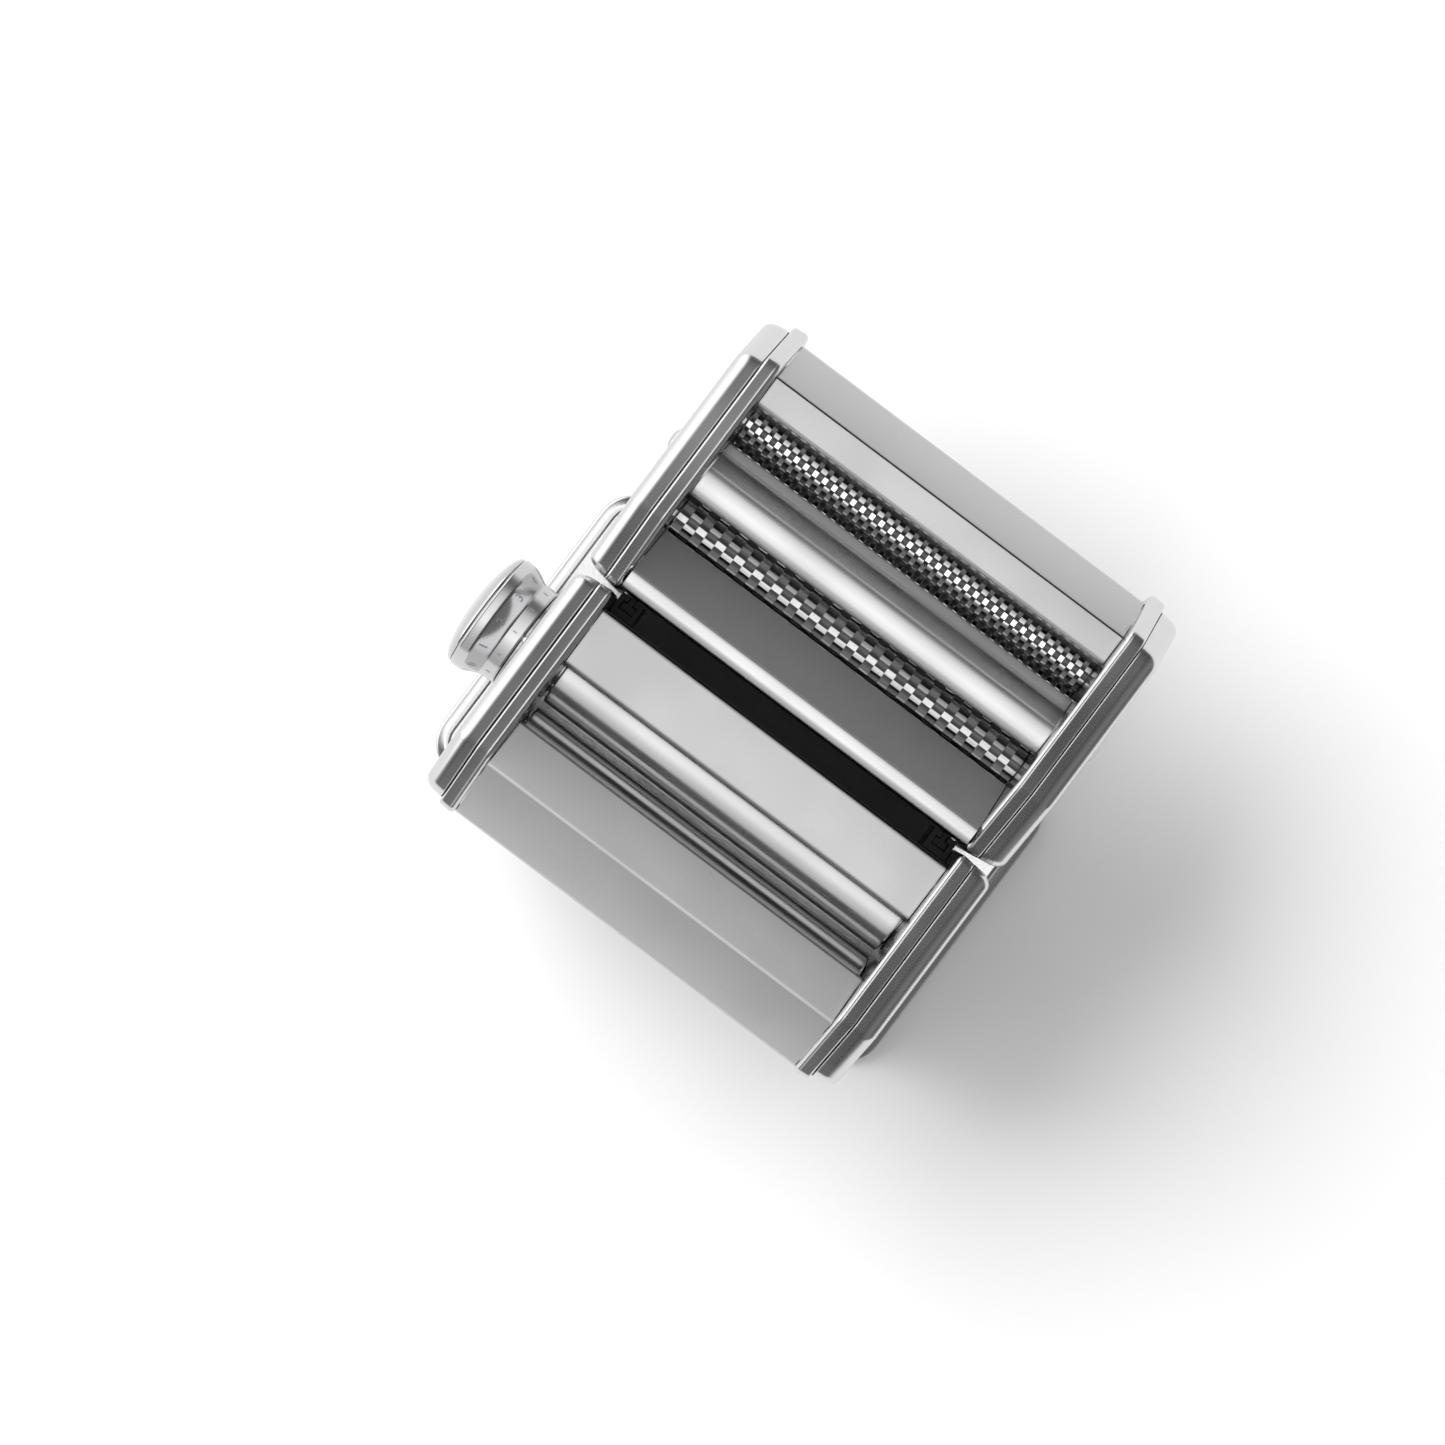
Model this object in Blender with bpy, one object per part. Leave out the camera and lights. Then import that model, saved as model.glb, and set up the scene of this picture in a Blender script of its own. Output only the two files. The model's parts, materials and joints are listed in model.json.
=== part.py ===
"""Hand-cranked pasta roller machine with a lift-off double cutter head.

Two smooth rollers stand between two hollow side housings on a pressed base.
A pull-and-turn knob on the left moves the rear roller towards the front one
through a rod with a snail cam at each end.  The cutter head hangs behind the
rollers on two T-slot rails and carries a wide and a narrow pair of cutters.

Metres, +Z up.  X runs along the rollers (knob at -X, crank sockets at +X),
+Y is the rear, where the cutter head is.  All sizes below are millimetres.
"""
import math

import bmesh
import bpy

MM = 0.001
GAP = 0.3                       # clearance between touching pieces

# Overall
MID_X = 4.95                    # mid-plane between the housings
HALF_BASE = (106.5, 66.5)       # base half width and half depth
BASE_MID_Y = -35.95
BASE_TOP = 16.5

# Side housings, as distances from the mid-plane
FLANK_IN = 76.0
SHEET = 1.2
FLANK_RIM = 82.5
COVER_RIM = FLANK_RIM + GAP
COVER_OUT = 91.5
EDGE_RADIUS = 5.0

# Outlines in (y, z, corner radius), counted round the housing
MAIN_FLANK = ((-16.0, 16.8, 4), (-8.2, 96.0, 20), (-8.2, 145.0, 4),
              (-80.5, 145.0, 7), (-106.5, 125.5, 5), (-106.5, 112.0, 12),
              (-95.0, 16.8, 4))
MAIN_COVER = ((-16.6, 17.2, 4), (-8.2, 96.0, 20), (-8.2, 145.0, 6),
              (-80.5, 145.0, 8), (-104.6, 126.9, 9), (-104.6, 112.0, 12),
              (-93.2, 17.2, 4))
HEAD_FLANK = ((-7.2, 86.0, 6), (-7.2, 139.5, 5), (21.95, 155.0, 8),
              (86.65, 155.0, 8), (106.5, 130.0, 6), (104.0, 108.0, 10),
              (90.0, 80.0, 8), (2.0, 80.0, 8))
HEAD_COVER = ((-7.2, 86.6, 7), (-7.2, 139.5, 7), (21.95, 155.0, 9),
              (86.65, 155.0, 9), (104.7, 132.3, 9), (102.2, 109.0, 10),
              (88.6, 80.6, 9), (2.0, 80.6, 9))

# Smooth rollers and thickness adjuster
ROLLER_Z = 109.5
REAR_Y = -40.85
FRONT_Y = -71.9
ROLLER_R = 14.5
ROLLER_HALF = 75.0
JOURNAL_R = 8.0
ROLLER_BORE = 5.5
ROD_R = 3.2
CAM_REST_R = 6.52
CAM_RATE = 0.4966               # cam radius in mm per radian of knob turn
CAM_LOW, CAM_HIGH = -60.0, 210.0
CAM_X = (87.5, 89.3)
YOKE_X = (87.2, 89.6)

# Gears: teeth, tip, root and reference radius, tooth width at the reference
ROLLER_GEAR = (12, 17.0, 11.7, 14.65, 2.8)
PINION_GEAR = (9, 13.0, 8.2, 11.4, 2.6)
CUTTER_GEAR = (12, 9.1, 6.6, 8.05, 1.5)
TOOTH_TAPER = 0.3
GEAR_X = (80.1, 86.4)
CUTTER_GEAR_X = (80.1, 85.4)
PINION_OFFSET = (-4.0, -26.3)   # from the front roller's axis
HEX_FLATS = 7.2                 # crank sockets

# Cutters
CUTTER_LENGTH = 151.2
CUTTER_TIP_R = 8.6
CUTTER_GROOVE_R = 7.2
CUTTER_JOURNAL_R = 5.0
RING_CLEARANCE = 0.3
WIDE_UPPER = (27.8, 120.5)
WIDE_LOWER = (37.3, 107.5)
NARROW_UPPER = (69.5, 120.5)
NARROW_LOWER = (60.0, 107.5)
WIDE_COLUMNS = 36
NARROW_COLUMNS = 72

# Bent sheets, as (y, z) lines down the middle of the metal
PANEL_HALF = FLANK_IN - GAP
PANEL_T = 1.0
FRONT_PANEL = ((-103.6, 106.0), (-104.6, 122.0), (-83.5, 140.7),
               (-65.2, 133.6), (-65.4, 127.0))
REAR_PANEL = ((-38.9, 127.2), (-38.3, 135.6), (-15.8, 137.2), (-15.6, 76.0),
              (-4.6, 69.5))
HEAD_FRONT = ((-4.7, 84.0), (-4.8, 141.0), (-3.0, 143.8), (-0.4, 144.2),
              (1.6, 141.8), (20.2, 127.0))
DIVIDER = ((35.9, 129.5), (35.7, 140.5), (37.0, 144.0), (39.6, 145.8),
           (42.4, 145.4), (44.8, 143.6), (48.5, 140.2), (52.5, 137.2),
           (55.6, 135.6), (57.2, 135.6), (58.0, 134.2), (57.8, 129.5))
HEAD_REAR = ((74.7, 131.0), (74.7, 145.3), (85.6, 146.2), (101.2, 130.8),
             (101.6, 112.0))

# T-slot rails that carry the cutter head, one near each flank
RAIL_X = 70.8
RAIL_Z = (80.0, 108.0)
TONGUE_LIFT = 0.4

# Thickness knob, as (distance out from the left cover, radius)
KNOB_BODY = ((1.9, 20.25), (8.1, 20.25), (8.1, 21.0), (13.8, 22.6),
             (13.8, 23.25), (18.4, 23.25), (18.8, 22.85), (18.8, 19.5),
             (8.0, 19.5), (8.0, 3.6), (2.5, 3.6), (2.5, 7.0), (6.0, 7.0),
             (6.0, 18.4), (1.9, 18.4))
KNOB_CAP = ((24.9, 0.0), (24.6, 7.0), (23.7, 14.0), (22.3, 19.4),
            (21.0, 21.8), (19.2, 22.6), (19.2, 19.1), (17.5, 19.1),
            (17.5, 15.5), (19.2, 15.0), (19.2, 0.0))
INDEX_RADIUS = 13.0

CHROME = ((0.80, 0.81, 0.82), 0.12, 1.0)
SATIN = ((0.74, 0.75, 0.76), 0.35, 1.0)
ROLLER = ((0.70, 0.71, 0.72), 0.28, 1.0)
DARK_STEEL = ((0.45, 0.46, 0.47), 0.40, 1.0)
BRONZE = ((0.62, 0.45, 0.25), 0.40, 1.0)
NYLON = ((0.80, 0.79, 0.74), 0.50, 0.0)
RUBBER = ((0.03, 0.03, 0.03), 0.80, 0.0)


for old in list(bpy.data.objects):
    bpy.data.objects.remove(old, do_unlink=True)


def empty(name, location=(0, 0, 0), parent=None):
    """A frame that pieces hang from; not a piece itself."""
    obj = bpy.data.objects.new(name, None)
    bpy.context.scene.collection.objects.link(obj)
    obj.parent = parent
    obj.location = [v * MM for v in location]
    return obj


def finish(bm, name, look, parent):
    """Turn a bmesh in millimetres into a named object with its material."""
    bmesh.ops.recalc_face_normals(bm, faces=bm.faces)
    bmesh.ops.scale(bm, vec=(MM, MM, MM), verts=bm.verts)
    mesh = bpy.data.meshes.new(name)
    bm.to_mesh(mesh)
    bm.free()
    obj = bpy.data.objects.new(name, mesh)
    bpy.context.scene.collection.objects.link(obj)
    obj.parent = parent
    colour, rough, metal = look
    mat = bpy.data.materials.new(name + "_material")
    mat.use_nodes = True
    shader = mat.node_tree.nodes["Principled BSDF"]
    shader.inputs["Base Color"].default_value = (*colour, 1.0)
    shader.inputs["Roughness"].default_value = rough
    shader.inputs["Metallic"].default_value = metal
    mesh.materials.append(mat)
    mesh.shade_smooth()
    mesh.set_sharp_from_angle(angle=math.radians(35))
    return obj


def loft(loops):
    """Skin a list of equal 3-D loops and close the first and last."""
    bm = bmesh.new()
    rings = [[bm.verts.new(p) for p in loop] for loop in loops]
    count = len(rings[0])
    for a, b in zip(rings, rings[1:]):
        for i in range(count):
            j = (i + 1) % count
            bm.faces.new((a[i], a[j], b[j], b[i]))
    bm.faces.new(rings[0])
    bm.faces.new(rings[-1])
    return bm


def turn(profile, segments, axis=(0.0, 0.0)):
    """Turn a closed (x, radius) outline about an X axis at (y, z)."""
    bm = bmesh.new()
    rings = []
    for x, r in profile:
        if r == 0.0:
            rings.append([bm.verts.new((x, axis[0], axis[1]))])
            continue
        ring = []
        for k in range(segments):
            a = 2 * math.pi * k / segments
            ring.append(bm.verts.new((x, axis[0] + r * math.cos(a),
                                      axis[1] + r * math.sin(a))))
        rings.append(ring)
    for a, b in zip(rings, rings[1:] + rings[:1]):
        if len(a) == 1 and len(b) == 1:
            continue
        for k in range(segments):
            m = (k + 1) % segments
            if len(a) == 1:
                bm.faces.new((a[0], b[m], b[k]))
            elif len(b) == 1:
                bm.faces.new((a[k], a[m], b[0]))
            else:
                bm.faces.new((a[k], a[m], b[m], b[k]))
    return bm


def box(x, y, z):
    """A block between pairs of x, y and z."""
    return loft([[(x[0], y[0], c), (x[1], y[0], c), (x[1], y[1], c),
                  (x[0], y[1], c)] for c in z])


def extrude_x(outline, x0, x1):
    """A straight bar along X with a (y, z) outline."""
    return loft([[(x, y, z) for y, z in outline] for x in (x0, x1)])


def offset_line(points, distance):
    """Move an open (y, z) line sideways, mitred at its bends."""
    out = []
    for i, (y, z) in enumerate(points):
        normals = []
        for a, b in ((i - 1, i), (i, i + 1)):
            if a < 0 or b >= len(points):
                continue
            dy = points[b][0] - points[a][0]
            dz = points[b][1] - points[a][1]
            size = math.hypot(dy, dz)
            normals.append((-dz / size, dy / size))
        ny = sum(n[0] for n in normals) / len(normals)
        nz = sum(n[1] for n in normals) / len(normals)
        scale = distance / (ny * ny + nz * nz)
        out.append((y + ny * scale, z + nz * scale))
    return out


def bent_sheet(line, thickness, half_length):
    """Sheet metal bent along a (y, z) line, spanning the flanks."""
    outline = offset_line(line, thickness / 2)
    outline += reversed(offset_line(line, -thickness / 2))
    return extrude_x(outline, -half_length, half_length)


def rounded(corners, inset=0.0, steps=2):
    """Outline with rounded corners, moved inwards by inset.

    Corners are (u, v, radius) round a convex shape.
    """
    area = sum(a[0] * b[1] - b[0] * a[1]
               for a, b in zip(corners, corners[1:] + corners[:1]))
    side = 1.0 if area > 0 else -1.0
    lines = []
    for a, b in zip(corners, corners[1:] + corners[:1]):
        du, dv = b[0] - a[0], b[1] - a[1]
        size = math.hypot(du, dv)
        nu, nv = -dv / size * side, du / size * side
        lines.append((a[0] + nu * inset, a[1] + nv * inset,
                      du / size, dv / size))
    out = []
    for i, corner in enumerate(corners):
        u0, v0, du0, dv0 = lines[i - 1]
        u1, v1, du1, dv1 = lines[i]
        cross = du0 * dv1 - dv0 * du1
        t = ((u1 - u0) * dv1 - (v1 - v0) * du1) / cross
        u, v = u0 + du0 * t, v0 + dv0 * t
        bend = math.acos(max(-1.0, min(1.0, du0 * du1 + dv0 * dv1)))
        radius = max(corner[2] - inset, 0.4)
        reach = radius * math.tan(bend / 2)
        start = (u - du0 * reach, v - dv0 * reach)
        centre = (start[0] - dv0 * side * radius,
                  start[1] + du0 * side * radius)
        first = math.atan2(start[1] - centre[1], start[0] - centre[0])
        for k in range(steps + 1):
            a = first + side * bend * k / steps
            out.append((centre[0] + radius * math.cos(a),
                        centre[1] + radius * math.sin(a)))
    return out


def pan(outline, side, flat, rim, radius, steps):
    """Pressed pan: a flat wall at x = flat with a wall round it to rim.

    side is +1 on the right and -1 on the left; flat and rim are distances
    from the mid-plane.  The edge round the flat wall has the given radius.
    """
    out = 1.0 if rim > flat else -1.0
    loops = []
    for k in range(steps + 1):
        a = math.pi / 2 * k / steps
        loops.append((flat + out * radius * (1 - math.cos(a)),
                      radius * (1 - math.sin(a))))
    loops.append((rim, 0.0))
    loops.append((rim, SHEET))
    inner = radius - SHEET
    for k in (1, 0):
        a = math.pi / 2 * k
        loops.append((flat + out * (SHEET + inner * (1 - math.cos(a))),
                      SHEET + inner * (1 - math.sin(a))))
    rings = []
    for x, inset in loops:
        rings.append([(side * x, y, z)
                      for y, z in rounded(outline, inset)])
    return loft(rings)


def gear_outline(gear, centre, phase):
    """Straight-flanked teeth; phase is a tooth's angle in degrees."""
    teeth, tip, root, ref, width = gear
    points = []
    for k in range(teeth):
        mid = math.radians(phase) + 2 * math.pi * k / teeth
        for r, s in ((root, -1), (tip, -1), (tip, 1), (root, 1)):
            wide = width + 2 * (ref - r) * TOOTH_TAPER
            a = mid + s * math.asin(wide / 2 / r)
            points.append((centre[0] + r * math.cos(a),
                           centre[1] + r * math.sin(a)))
    return points


def mesh_phase(first, first_phase, second, direction):
    """Phase that puts the second gear in mesh, seen from the first."""
    turned = first_phase - direction
    return (direction + 180 + 180 / second[0]
            - turned * first[0] / second[0])


def cut(target, cutters):
    """Remove cutter shapes with exact Booleans."""
    for index, bm in enumerate(cutters):
        tool = finish(bm, f"cutter_{target.name}_{index}", DARK_STEEL,
                      target.parent)
        tool.hide_render = True
        tool.display_type = 'WIRE'
        mod = target.modifiers.new(f"cut_{index}", 'BOOLEAN')
        mod.operation = 'DIFFERENCE'
        mod.solver = 'EXACT'
        mod.object = tool
    return target


def join(target, pieces):
    """Add shapes with exact Boolean unions."""
    for index, bm in enumerate(pieces):
        tool = finish(bm, f"joined_{target.name}_{index}", DARK_STEEL,
                      target.parent)
        tool.hide_render = True
        tool.display_type = 'WIRE'
        mod = target.modifiers.new(f"join_{index}", 'BOOLEAN')
        mod.operation = 'UNION'
        mod.solver = 'EXACT'
        mod.object = tool
    return target


def bore(x0, x1, r, axis, segments=16, phase=0.5):
    """Round cutter along X whose flats lie at radius r."""
    size = r / math.cos(math.pi / segments)
    outline = []
    for k in range(segments):
        a = 2 * math.pi * (k + phase) / segments
        outline.append((axis[0] + size * math.cos(a),
                        axis[1] + size * math.sin(a)))
    return extrude_x(outline, x0, x1)


def frame_at(name, y, z, parent):
    """Empty on a joint's axis, with pieces modelled about (0, 0)."""
    return empty(name, (0.0, y, z), parent)


def cover_screw(name, s, spot, parent):
    """Domed screw that holds a cover; s is +1 on the right side."""
    mount = frame_at(name + "_frame", *spot, parent)
    mount.location.x = s * COVER_OUT * MM
    return finish(turn([(s * -7.0, 0.0), (s * -7.0, 1.7), (s * -6.4, 2.0),
                        (s * GAP, 2.0), (s * GAP, 4.2), (s * 1.6, 3.6),
                        (s * 2.3, 2.0), (s * 2.4, 0.0)], 12),
                  name, SATIN, mount)


machine = empty("machine", (MID_X, 0.0, 0.0))
head = empty("cutter_head_frame", (0, 0, 0), machine)

# ---------------------------------------------------------------- base
base_corners = []
for sx, sy in ((-1, -1), (1, -1), (1, 1), (-1, 1)):
    base_corners.append((sx * HALF_BASE[0], BASE_MID_Y + sy * HALF_BASE[1],
                         15.0))
base_loops = []
for inset, z in ((6.2, BASE_TOP), (4.9, 15.9), (4.4, 14.6), (4.0, 8.4),
                 (3.0, 7.4), (0.6, 7.2), (0.0, 6.4), (0.0, 4.0),
                 (1.3, 4.0), (1.3, 6.0), (5.4, 6.6), (6.2, 14.0),
                 (7.4, 15.2)):
    base_loops.append([(x, y, z) for x, y in rounded(base_corners, inset)])
base = finish(loft(base_loops), "base_plate", CHROME, machine)
# Slot for the table clamp's tongue, and the shallow seat that it bears on.
cut(base, [box((-12.0, 12.0), (-106.0, -84.0), (8.9, 13.7)),
           box((-11.5, 11.5), (-94.5, -80.0), (14.2, 15.6))])

for fx, x in (("left", -88.0), ("right", 88.0)):
    for fy, y in (("front", -85.5), ("rear", 13.6)):
        foot = frame_at(f"foot_frame_{fy}_{fx}", y, 0.0, machine)
        foot.location.x = x * MM
        rings = []
        for z, r in ((0.0, 7.0), (1.0, 7.8), (6.0, 8.0), (14.8, 7.0)):
            rings.append([(r * math.cos(math.tau * k / 16),
                           r * math.sin(math.tau * k / 16), z)
                          for k in range(16)])
        finish(loft(rings), f"foot_{fy}_{fx}", RUBBER, foot)

# ------------------------------------------------------- main housings
pinion_axis = (FRONT_Y + PINION_OFFSET[0], ROLLER_Z + PINION_OFFSET[1])
tie_rods = {"tie_rod_front": (-86.0, 44.0), "tie_rod_rear": (-26.0, 44.0)}
main_screw = (-56.4, 52.0)
head_screw = (48.0, 134.0)
head_rod = (92.0, 103.0)

for side, s in (("left", -1), ("right", 1)):
    flank = finish(pan(MAIN_FLANK, s, FLANK_IN, FLANK_RIM, 2.2, 1),
                   f"main_flank_{side}", SATIN, machine)
    holes = [bore(s * 74, s * 80, 10.3, (FRONT_Y, ROLLER_Z), 14),
             box(sorted((s * 74, s * 80)),
                 (REAR_Y - 10.3 - 2.3, REAR_Y + 10.3 + 1.0),
                 (ROLLER_Z - 10.6, ROLLER_Z + 10.6))]
    if s > 0:
        holes.append(bore(74, 80, 5.9, pinion_axis))
    cut(flank, holes)

    cover = finish(pan(MAIN_COVER, s, COVER_OUT, COVER_RIM, EDGE_RADIUS, 3),
                   f"main_cover_{side}", CHROME, machine)
    holes = [bore(s * 88, s * 94, 2.3, main_screw, 8)]
    if s > 0:
        holes.append(bore(88, 94, 7.6, pinion_axis))
        holes.append(bore(88, 94, 7.3, (REAR_Y, ROLLER_Z)))
    else:
        holes.append(bore(-94, -88, 6.0, (REAR_Y, ROLLER_Z)))
    cut(cover, holes)

    cover_screw(f"main_screw_{side}", s, main_screw, machine)

    bush = frame_at(f"bush_frame_{side}", FRONT_Y, ROLLER_Z, machine)
    finish(turn([(s * 75.9, 8.5), (s * 75.9, 10.0), (s * 77.6, 10.0),
                 (s * 77.6, 12.0), (s * 79.4, 12.0), (s * 79.4, 8.5)], 14),
           f"front_bush_{side}", BRONZE, bush)

for name, spot in tie_rods.items():
    rod = frame_at(name + "_frame", *spot, machine)
    finish(turn([(-PANEL_HALF, 0.0), (-PANEL_HALF, 4.0), (PANEL_HALF, 4.0),
                 (PANEL_HALF, 0.0)], 12), name, SATIN, rod)

finish(bent_sheet(FRONT_PANEL, PANEL_T, PANEL_HALF), "front_panel", SATIN,
       machine)
finish(bent_sheet(REAR_PANEL, PANEL_T, PANEL_HALF), "rear_panel", SATIN,
       machine)

# --------------------------------------------------- front roller, drive
front = frame_at("front_roller_axis", FRONT_Y, ROLLER_Z, machine)
finish(turn([(-79.4, 0.0), (-79.4, JOURNAL_R), (-ROLLER_HALF, JOURNAL_R),
             (-ROLLER_HALF, 14.0), (-74.5, ROLLER_R), (74.5, ROLLER_R),
             (ROLLER_HALF, 14.0), (ROLLER_HALF, JOURNAL_R),
             (86.6, JOURNAL_R), (86.6, 0.0)], 24),
       "front_roller", ROLLER, front)
gear = finish(extrude_x(gear_outline(ROLLER_GEAR, (0, 0), 0.0), *GEAR_X),
              "front_roller_gear", DARK_STEEL, front)
cut(gear, [bore(78, 88, JOURNAL_R + GAP, (0, 0))])

pinion_axis_frame = frame_at("crank_axis", *pinion_axis, machine)
shaft = finish(turn([(72.4, 0.0), (72.4, 7.0), (75.6, 7.0), (75.6, 5.5),
                     (86.9, 5.5), (86.9, 7.2), (91.3, 7.2), (91.3, 0.0)],
                    16), "crank_socket_shaft", SATIN, pinion_axis_frame)
cut(shaft, [bore(79.8, 94.0, HEX_FLATS / 2, (0, 0), 6)])
drive_angle = math.degrees(math.atan2(PINION_OFFSET[1], PINION_OFFSET[0]))
pinion = finish(extrude_x(
    gear_outline(PINION_GEAR, (0, 0),
                 mesh_phase(ROLLER_GEAR, 0.0, PINION_GEAR, drive_angle)),
    *GEAR_X), "crank_pinion", DARK_STEEL, pinion_axis_frame)
cut(pinion, [bore(78, 88, 5.5 + GAP, (0, 0), 12)])

# ---------------------------------------- rear roller and its carriage
adjust = frame_at("adjuster_axis", REAR_Y, ROLLER_Z, machine)
rear = finish(turn([(-79.4, ROLLER_BORE), (-79.4, JOURNAL_R),
                    (-ROLLER_HALF, JOURNAL_R), (-ROLLER_HALF, 14.0),
                    (-74.5, ROLLER_R), (74.5, ROLLER_R),
                    (ROLLER_HALF, 14.0), (ROLLER_HALF, JOURNAL_R),
                    (86.6, JOURNAL_R), (86.6, ROLLER_BORE)], 24),
              "rear_roller", ROLLER, adjust)
gear = finish(extrude_x(
    gear_outline(ROLLER_GEAR, (0, 0),
                 mesh_phase(ROLLER_GEAR, 0.0, ROLLER_GEAR, 0.0)),
    *GEAR_X), "rear_roller_gear", DARK_STEEL, adjust)
cut(gear, [bore(78, 88, JOURNAL_R + GAP, (0, 0))])

for side, s in (("left", -1), ("right", 1)):
    block = finish(box(sorted((s * 75.9, s * 78.5)), (-10.3, 10.3),
                       (-10.3, 10.3)),
                   f"bearing_block_{side}", BRONZE, adjust)
    join(block, [box(sorted((s * 77.6, s * 79.6)), (-13.6, 22.8),
                     (-13.0, 13.0)),
                 box(sorted((s * 79.0, s * 88.4)), (18.3, 22.3),
                     (-8.0, 8.0)),
                 box(sorted((s * YOKE_X[0], s * YOKE_X[1])), (-12.5, 22.9),
                     (-12.6, 12.6))])
    cut(block, [bore(s * 74, s * 80.5, JOURNAL_R + GAP, (0, 0), 20),
                box(sorted((s * 86.0, s * 91.0)),
                    (-CAM_REST_R - GAP, 10.8), (-9.3, 9.3))])

# -------------------------------- adjuster rod, cams, knob and spring
finish(turn([(-109.7, 0.0), (-109.7, 7.4), (-108.1, 7.4),
             (-108.1, ROD_R), (91.4, ROD_R), (91.4, 0.0)], 12),
       "adjuster_rod", SATIN, adjust)

cam_points = []
cam_steps = 24
for k in range(cam_steps):
    # Angle of knob turn that brings this point of the cam to face -Y.
    facing = CAM_LOW + 360.0 * k / cam_steps
    span = CAM_HIGH - CAM_LOW
    if facing <= CAM_HIGH:
        radius = CAM_REST_R + CAM_RATE * math.radians(facing)
    else:
        back = (facing - CAM_HIGH) / (360.0 - span)
        top = CAM_REST_R + CAM_RATE * math.radians(CAM_HIGH)
        low = CAM_REST_R + CAM_RATE * math.radians(CAM_LOW)
        radius = top + (low - top) * back
    a = math.radians(180.0 - facing)
    cam_points.append((radius * math.cos(a), radius * math.sin(a)))
for side, s in (("left", -1), ("right", 1)):
    cam = finish(extrude_x(cam_points, *sorted((s * CAM_X[0],
                                                s * CAM_X[1]))),
                 f"cam_{side}", DARK_STEEL, adjust)
    cut(cam, [bore(s * 86, s * 91, ROD_R + 0.25, (0, 0), 12)])

knob = finish(turn([(-COVER_OUT - u, r) for u, r in KNOB_BODY], 28),
              "thickness_knob", CHROME, adjust)
finish(turn([(-COVER_OUT - u, r) for u, r in KNOB_CAP], 28), "knob_cap",
       CHROME, adjust)
finish(turn([(-97.2, 0.0), (-97.2, 1.5), (-93.6, 1.5), (-93.3, 1.2),
             (-93.3, 0.0)], 8,
            (INDEX_RADIUS * math.cos(math.radians(90)),
             INDEX_RADIUS * math.sin(math.radians(90)))),
       "index_pin", SATIN, adjust)

index_plate = finish(turn([(-91.8, ROD_R + GAP), (-91.8, 20.6),
                           (-93.0, 20.6), (-93.0, ROD_R + GAP)], 28),
                     "index_plate", SATIN, adjust)
stops = []
for k in range(10):
    a = math.radians(90 + CAM_LOW + 30 * k)
    stops.append(bore(-94, -91, 1.9, (INDEX_RADIUS * math.cos(a),
                                      INDEX_RADIUS * math.sin(a)), 6, 0.3))
cut(index_plate, stops)

spring_bm = bmesh.new()
turns, per_turn, wire_sides = 3.5, 10, 4
coil_r, wire_r = 5.6, 0.45
spring_x = (-103.4, -107.2)
path = int(turns * per_turn)
rings = []
for k in range(path + 1):
    a = 2 * math.pi * k / per_turn
    x = spring_x[0] + (spring_x[1] - spring_x[0]) * k / path
    ring = []
    for m in range(wire_sides):
        b = 2 * math.pi * m / wire_sides
        r = coil_r + wire_r * math.cos(b)
        ring.append(spring_bm.verts.new((x + wire_r * math.sin(b),
                                         r * math.cos(a), r * math.sin(a))))
    rings.append(ring)
for a, b in zip(rings, rings[1:]):
    for m in range(wire_sides):
        n = (m + 1) % wire_sides
        spring_bm.faces.new((a[m], a[n], b[n], b[m]))
spring_bm.faces.new(rings[0])
spring_bm.faces.new(rings[-1])
finish(spring_bm, "knob_spring", SATIN, adjust)

finish(turn([(89.95, ROD_R + GAP), (89.95, 6.9), (92.3, 6.9), (92.6, 6.2),
             (92.6, ROD_R + GAP)], 16), "rod_bush_right", SATIN, adjust)

# -------------------------------------------------- rails for the head
rail_y = (-14.2, -6.0)
for side, s in (("left", -1), ("right", 1)):
    mouth, room, wall = 1.3, 3.0, 4.9
    outline = [(-wall, rail_y[0]), (wall, rail_y[0]), (wall, rail_y[1]),
               (mouth, rail_y[1]), (mouth, -8.2), (room, -8.2),
               (room, -11.6), (-room, -11.6), (-room, -8.2),
               (-mouth, -8.2), (-mouth, rail_y[1]), (-wall, rail_y[1])]
    rail = finish(loft([[(s * RAIL_X + x, y, z) for x, y in outline]
                        for z in (RAIL_Z[0], RAIL_Z[1])]),
                  f"head_rail_{side}", SATIN, machine)
    join(rail, [box((s * RAIL_X - wall, s * RAIL_X + wall), rail_y,
                    (RAIL_Z[0] - 2.5, RAIL_Z[0] + 2.0))])
    stem, bar = 0.95, 2.6
    outline = [(-bar, -11.2), (bar, -11.2), (bar, -8.6), (stem, -8.6),
               (stem, -5.5), (-stem, -5.5), (-stem, -8.6), (-bar, -8.6)]
    finish(loft([[(s * RAIL_X + x, y, z) for x, y in outline]
                 for z in (RAIL_Z[0] + 2.0 + TONGUE_LIFT,
                           RAIL_Z[1] - 2.0)]),
           f"head_tongue_{side}", SATIN, head)

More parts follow.
